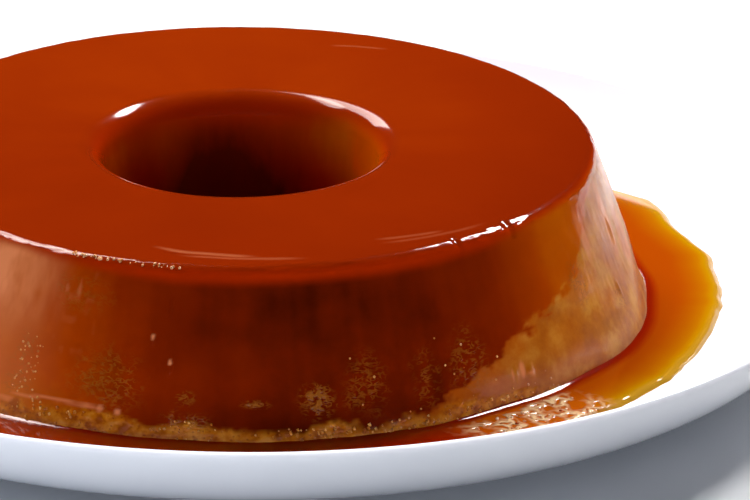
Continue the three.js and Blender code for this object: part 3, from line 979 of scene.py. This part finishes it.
def make_hole_sauce(material):
    """The pool at the bottom of the hole."""
    angle = np.arange(HOLE_SAUCE_STEPS) * TURN / HOLE_SAUCE_STEPS
    rim = hole_radius(HOLE_SAUCE_LEVEL + SAUCE_CLIMB) + 0.2
    r = np.concatenate(([0.5], np.linspace(4, rim, 20)))
    climb = SAUCE_CLIMB * np.clip(1 - (rim - r) / SAUCE_CLIMB_WIDTH, 0, 1) ** 2
    top = np.column_stack((r, HOLE_SAUCE_LEVEL + climb))
    profile = np.concatenate(([(0.5, 0.0), (hole_radius(0), 0.0)], top[::-1]))
    turn, _, r, z = swept(profile, angle, profile[:, 0])
    points = ring_points(turn, r, z)
    faces = capped_faces(HOLE_SAUCE_STEPS, len(profile))
    depth = {"depth": np.ones(turn.size)}
    return new_piece("sauce_in_ring_hole", points.reshape(-1, 3), faces, material, depth)


# ---- Small things strewn about, by Geometry Nodes ----


def scatter(name, ground, mark, make_grain, settings, material):
    """Strews grains on ground wherever its attribute mark says, and returns them as one plain mesh object.

    settings gives the tree's named inputs: Density in grains per square metre where the mark is 1, Smallest
    and Largest as scales of the grain, Flatness along the skin's normal, and Seed.
    """
    tree = bpy.data.node_groups.new(name, "GeometryNodeTree")
    tree.interface.new_socket("Ground", in_out="INPUT", socket_type="NodeSocketGeometry")
    tree.interface.new_socket("Grains", in_out="OUTPUT", socket_type="NodeSocketGeometry")
    identifiers = {}
    for key, value in settings.items():
        kind = "NodeSocketInt" if isinstance(value, int) else "NodeSocketFloat"
        identifiers[key] = tree.interface.new_socket(key, in_out="INPUT", socket_type=kind).identifier
    given = add(tree, "NodeGroupInput").outputs
    where = add(tree, "GeometryNodeInputNamedAttribute", {"Name": mark}, data_type="FLOAT")
    density = add(tree, "Math", {0: where, 1: given["Density"]}, operation="MULTIPLY")
    points = add(
        tree,
        "GeometryNodeDistributePointsOnFaces",
        {"Mesh": given["Ground"], "Density": density, "Seed": given["Seed"]},
    )
    sizes = {"Min": given["Smallest"], "Max": given["Largest"], "Seed": given["Seed"]}
    size = add(tree, "FunctionNodeRandomValue", sizes, data_type="FLOAT")
    thickness = add(tree, "Math", {0: size, 1: given["Flatness"]}, operation="MULTIPLY")
    scale = add(tree, "CombineXYZ", {"X": size, "Y": size, "Z": thickness})
    placed = add(
        tree,
        "GeometryNodeInstanceOnPoints",
        {
            "Points": points,
            "Instance": make_grain(tree),
            "Rotation": points.outputs["Rotation"],
            "Scale": scale,
        },
    )
    real = add(tree, "GeometryNodeRealizeInstances", {"Geometry": placed})
    smooth = add(tree, "GeometryNodeSetShadeSmooth", {"Geometry": real})
    dressed = add(tree, "GeometryNodeSetMaterial", {"Geometry": smooth, "Material": material})
    add(tree, "NodeGroupOutput", {"Grains": dressed})

    host = show(bpy.data.objects.new(name, ground.data.copy()))
    modifier = host.modifiers.new(name, "NODES")
    modifier.node_group = tree
    for key, value in settings.items():
        modifier[identifiers[key]] = value
    mesh = bpy.data.meshes.new_from_object(host.evaluated_get(bpy.context.evaluated_depsgraph_get()))
    host.modifiers.clear()
    bpy.data.objects.remove(host)
    return show(bpy.data.objects.new(name, mesh))


def bead(tree):
    """A ball with a radius of 1 mm."""
    return add(tree, "GeometryNodeMeshIcoSphere", {"Radius": 1 * MM, "Subdivisions": GRAIN_LEVEL})


def crumb(tree):
    """A knobbly crumb with a radius of about 1 mm."""
    knobs = add(tree, "TexNoise", {"Scale": 1 / (0.9 * MM), "Detail": 1.0})
    height = add(tree, "Math", {0: knobs, 1: 2.4 * MM, 2: -1.3 * MM}, operation="MULTIPLY_ADD")
    outwards = add(tree, "GeometryNodeInputNormal")
    offset = add(tree, "VectorMath", {0: outwards, "Scale": height}, operation="SCALE")
    return add(tree, "GeometryNodeSetPosition", {"Geometry": bead(tree), "Offset": offset})


def wet_material(name, stops, roughness, grain_size=1.5):
    """Syrup, foam or wet crumb, whose colour varies from grain to grain. grain_size is in mm."""
    material, tree = new_material(name)
    place = add(tree, "TexCoord").outputs["Object"]
    grain = add(tree, "TexNoise", {"Vector": place, "Scale": 1 / (grain_size * MM), "Detail": 1.0})
    colour = add(tree, "ValToRGB", {"Fac": grain}, stops)
    shader = add(tree, "BsdfPrincipled", {"Base Color": colour, "Roughness": roughness, "IOR": 1.4})
    add(tree, "OutputMaterial", {"Surface": shader})
    return material


# ---- Stage, light and camera ----


def towards(bearing, elevation):
    """A direction from its bearing, counted from +Y towards +X, and its elevation, both in degrees."""
    b = math.radians(bearing)
    e = math.radians(elevation)
    return Vector((math.sin(b) * math.cos(e), math.cos(b) * math.cos(e), math.sin(e)))


def add_window(name, bearing, elevation, distance, size, radiance, colour, mirrored):
    """A soft light that faces the ring. Lengths are in metres.

    The part's gloss mirrors it, or else it lights the part. A wide one that is mirrored is an ellipse.
    """
    light = bpy.data.lights.new(name, "AREA")
    light.shape = "ELLIPSE" if mirrored and size[0] > size[1] else "RECTANGLE"
    light.size, light.size_y = size
    light.energy = radiance * math.pi * size[0] * size[1]
    light.color = linear(colour)[:3]
    lamp = show(bpy.data.objects.new(name, light))
    target = Vector((0, 0, 0.04))
    lamp.location = target + towards(bearing, elevation) * distance
    lamp.rotation_euler = (target - lamp.location).to_track_quat("-Z", "Y").to_euler()
    lamp.visible_camera = False
    lamp.visible_diffuse = not mirrored
    lamp.visible_glossy = mirrored
    return lamp


def light_group(name, piece, excluded=False):
    """What a light reaches: the piece alone, or all but the piece."""
    group = bpy.data.collections.new(name)
    group.objects.link(piece)
    if excluded:
        group.collection_objects[0].light_linking.link_state = "EXCLUDE"
    return group


def make_stage():
    material, tree = new_material("matt_white_table")
    shader = add(tree, "BsdfPrincipled", {"Base Color": linear("#F2F2F4"), "Roughness": 0.6})
    add(tree, "OutputMaterial", {"Surface": shader})
    half = 12000
    corners = [(-half, -half, 0), (half, -half, 0), (half, half, 0), (-half, half, 0)]
    new_piece("table", corners, [[0, 1, 2, 3]], material)


def make_world():
    """A dark room, which the camera sees as pale as the table."""
    world = bpy.data.worlds.new("studio")
    bpy.context.scene.world = world
    world.use_nodes = True
    tree = world.node_tree
    tree.nodes.clear()
    seen = add(tree, "LightPath").outputs["Is Camera Ray"]
    room = {"Factor": seen, "A": linear("#0E0F10"), "B": linear("#E8EAEE")}
    colour = add(tree, "Mix", room, data_type="RGBA")
    background = add(tree, "Background", {"Color": colour, "Strength": 1.0})
    add(tree, "OutputWorld", {"Surface": background})


def make_camera():
    """A long lens 1.5 m away, 20.9 degrees above the table."""
    distance = 1500 * MM
    elevation = math.radians(20.9)
    yaw = math.radians(1.412)
    pitch = math.radians(0.448)
    target = Vector((RING_X, 0, FLOOR_TOP)) * MM
    ahead = Vector((0, math.cos(elevation), -math.sin(elevation)))
    right = Vector((1, 0, 0))
    up = right.cross(ahead)
    level = right, ahead
    right = level[0] * math.cos(yaw) - level[1] * math.sin(yaw)
    ahead = level[1] * math.cos(yaw) + level[0] * math.sin(yaw)
    raised = ahead, up
    ahead = raised[0] * math.cos(pitch) + raised[1] * math.sin(pitch)
    up = raised[1] * math.cos(pitch) - raised[0] * math.sin(pitch)
    camera = show(bpy.data.objects.new("camera", bpy.data.cameras.new("camera")))
    camera.data.sensor_width = 36
    camera.data.lens = 268.28
    camera.data.clip_end = 100
    back = Vector((0, -math.cos(elevation), math.sin(elevation))) * distance
    turn = Matrix((right, up, -ahead)).transposed().to_4x4()
    camera.matrix_world = Matrix.Translation(target + back) @ turn
    bpy.context.scene.camera = camera


# ---- The part ----

make_camera()
make_world()
make_stage()
# Two windows behind the flan light it, with a fill in front, and its wet skin mirrors three others:
# (name, bearing, elevation, distance, size, radiance, colour, whether it is mirrored).
lamps = {
    name: add_window(name, *settings)
    for name, *settings in (
        ("left_light", -25, 48, 3.0, (1.4, 1.8), 14, "#FFFAF6", False),
        ("right_light", 30, 44, 3.0, (0.8, 1.2), 26, "#FFFFFF", False),
        ("front_fill", 180, 11, 3.2, (5.0, 0.8), 3.4, "#E8F2FF", False),
        ("plate_fill_above", 180, 82, 3.0, (2.0, 1.0), 11, "#FFF8FA", False),
        ("plate_fill_front", 190, 11, 3.2, (7.0, 0.8), 2.9, "#E4F0FF", False),
        ("plate_fill_left", 245, 4, 3.2, (2.5, 0.6), 11, "#E4F0FF", False),
        ("left_window_low", -30, 42, 2.8, (1.15, 1.55), 10, "#FFF0E8", True),
        ("left_window_high", -44, 56, 2.8, (1.5, 0.55), 10, "#FFF0E8", True),
        ("right_window", 37, 46.5, 2.8, (1.15, 0.62), 30, "#FFFFFF", True),
    )
}

plate = make_plate(glazed_porcelain())
# The plate has fill lights of its own, which the flan doesn't shade.
only_plate = light_group("only_plate", plate)
all_but_plate = light_group("all_but_plate", plate, excluded=True)
lamps["front_fill"].light_linking.receiver_collection = all_but_plate
for name in ("plate_fill_above", "plate_fill_front", "plate_fill_left"):
    lamps[name].light_linking.receiver_collection = only_plate
    lamps[name].light_linking.blocker_collection = only_plate
settle(plate, "porcelain", "plate")
custard = make_custard(custard_under_caramel_film())
# The wall doesn't mirror the right window, which the sauce would show once more as a pale band.
all_but_custard = light_group("all_but_custard", custard, excluded=True)
lamps["right_window"].light_linking.receiver_collection = all_but_custard
top = make_caramel_cap(caramel_soaked_custard())
sauce = caramel_sauce()
pool = make_sauce_pool(sauce)
# Beads of syrup on the wall and the shoulder, wet crumbs at the foot, and froth on the sauce. The palest
# stops of their colours are painted highlights and glints, in place of reflections of the windows.
syrup = wet_material("bead_of_syrup", ((0.35, "#B86428"), (0.6, "#D8944E")), 0.06)
syrup_with_painted_highlights = wet_material("bead_of_syrup_with_painted_highlights", ((0.35, "#C8783C"), (0.6, "#F0B07C")), 0.1)
crumb_with_painted_glints = wet_material("moist_crumb_with_painted_glints", ((0.35, "#B05808"), (0.55, "#DC8A20"), (0.68, "#FFC870")), 0.4)
foam = wet_material("caramel_froth", ((0.38, "#A83C08"), (0.5, "#E08A40"), (0.62, "#FFE2C0")), 0.1, 2.6)
GRAIN_INPUTS = ("Density", "Smallest", "Largest", "Flatness", "Seed")
for name, ground, mark, grain, material, slot, *values in (
    ("syrup_beads_on_wall", custard, "beads", bead, syrup, "caramel", 4.5e5, 0.14, 0.4, 0.6, 3),
    ("syrup_beads_on_shoulder", top, "beads", crumb, syrup_with_painted_highlights, "caramel", 3.9e6, 0.18, 0.48, 0.7, 5),
    ("crumbs_at_foot", custard, "crumbs", crumb, crumb_with_painted_glints, "custard", 6e5, 0.16, 0.5, 0.8, 4),
    ("froth_on_sauce", pool, "froth", bead, foam, "sauce", 5e4, 0.2, 0.6, 0.6, 6),
):
    settle(scatter(name, ground, mark, grain, dict(zip(GRAIN_INPUTS, values)), material), slot)

settle(custard, "custard", "custard")
settle(top, "caramel", "caramel_layer")
settle(pool, "sauce", "sauce_pool")
settle(make_hole_sauce(sauce), "sauce", "sauce_in_hole")

bpy.context.scene.view_settings.view_transform = "Standard"
